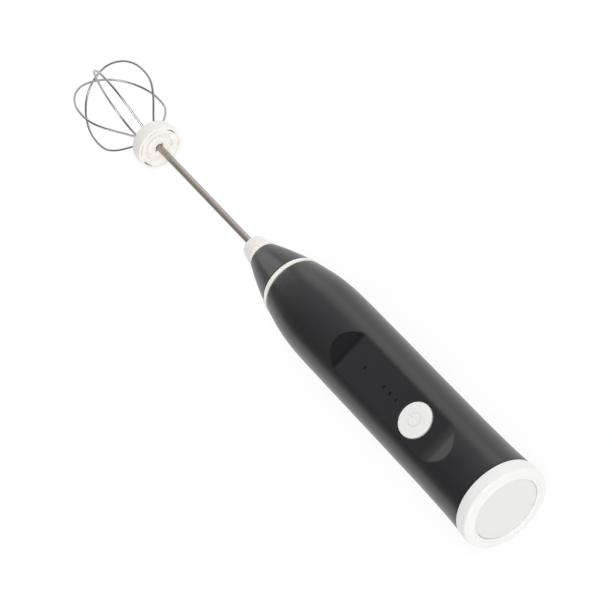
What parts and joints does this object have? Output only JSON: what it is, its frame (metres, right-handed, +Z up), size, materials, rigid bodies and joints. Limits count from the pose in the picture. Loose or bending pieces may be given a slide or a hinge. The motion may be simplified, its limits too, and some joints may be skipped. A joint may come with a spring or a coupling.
{
  "type": "milk frother",
  "caption": "Hand-held rechargeable milk frother: black handle with a sunk panel and white push button, and a pull-out rod carrying a balloon whisk of crossed wire loops.",
  "frame": {"origin": "middle of the base of the bounding box, with the frother lying on its back and the button up", "axes": "+Y along the handle from the end cap to the whisk tip, +Z up out of the button panel, +X across"},
  "size_m": [0.034, 0.2784, 0.0334],
  "materials": {
    "black_shell": "semi-gloss moulded, near black",
    "white_shell": "semi-gloss moulded, warm white",
    "end_disc": "satin, slightly greyer white",
    "smoked_lens": "dark smoked light guide",
    "led_white": "small white chip",
    "whisk_hub": "semi-gloss moulded, warm white",
    "rod_steel": "drawn steel with lengthwise streaks",
    "whisk_chrome": "bright polished wire",
    "motor_steel": "plated steel",
    "port_steel": "bright pressed steel",
    "brass_parts": "turned brass",
    "nickel_tab": "nickel strip",
    "copper_winding": "enamelled copper on a steel core",
    "magnet": "dark ferrite",
    "cell": "blue shrink wrap on a steel can",
    "frame_plastic": "matt grey moulded",
    "board_green": "green solder mask",
    "chip_black": "black epoxy",
    "seal_rubber": "soft matt",
    "lead_red": "soft insulation",
    "lead_black": "soft insulation"
  },
  "bodies": {
    "handle": {"main_housing": "black_shell", "nose_cone": "black_shell", "trim_ring": "white_shell", "nose_cap": "white_shell", "end_cap": "white_shell", "end_disc": "end_disc", "light_guide_1": "smoked_lens", "light_guide_2": "smoked_lens", "light_guide_3": "smoked_lens", "light_guide_4": "smoked_lens", "led_chip_1": "led_white", "led_chip_2": "led_white", "led_chip_3": "led_white", "led_chip_4": "led_white", "motor_can": "motor_steel", "frame_screw_left": "motor_steel", "frame_screw_right": "motor_steel", "motor_screw_left": "motor_steel", "motor_screw_right": "motor_steel", "charge_port": "port_steel", "switch_body": "port_steel", "nose_bush": "brass_parts", "motor_bushing": "brass_parts", "motor_terminal_left": "brass_parts", "motor_terminal_right": "brass_parts", "battery_tab_negative": "nickel_tab", "battery_tab_positive": "nickel_tab", "motor_magnet_left": "magnet", "motor_magnet_right": "magnet", "battery_cell": "cell", "inner_frame": "frame_plastic", "motor_end_bell": "frame_plastic", "circuit_board": "board_green", "charge_board": "board_green", "controller_chip": "chip_black", "charge_coil": "chip_black", "nose_seal": "seal_rubber", "battery_lead_positive": "lead_red", "motor_lead_positive": "lead_red", "charge_lead_positive": "lead_red", "battery_lead_negative": "lead_black", "motor_lead_negative": "lead_black", "charge_lead_negative": "lead_black"},
    "drive": {"motor_shaft": "motor_steel", "motor_armature": "copper_winding", "commutator": "brass_parts", "drive_socket": "brass_parts"},
    "whisk": {"whisk_rod": "rod_steel", "hub_cup": "whisk_hub", "hub_insert": "whisk_hub", "whisk_wire_1": "whisk_chrome", "whisk_wire_2": "whisk_chrome", "whisk_wire_3": "whisk_chrome"},
    "button": {"power_button": "white_shell"},
    "plunger": {"switch_plunger": "chip_black"}
  },
  "joints": [
    {"name": "whisk_spin", "type": "hinge", "parent": "handle", "child": "drive", "pos_m": [0, 0, 0.01669], "axis": [0, 1, 0], "continuous": true},
    {"name": "whisk_pull", "type": "slide", "parent": "drive", "child": "whisk", "axis": [0, 1, 0], "range_m": [0, 0.03]},
    {"name": "button_press", "type": "slide", "parent": "handle", "child": "button", "axis": [0, 0, -1], "range_m": [0, 0.0005], "stiffness_N_per_m": 1500},
    {"name": "plunger_press", "type": "slide", "parent": "handle", "child": "plunger", "axis": [0, 0, -1], "range_m": [0, 0.0005]}
  ],
  "couplings": [
    {"joint": "plunger_press", "follows": "button_press", "ratio": 1}
  ]
}
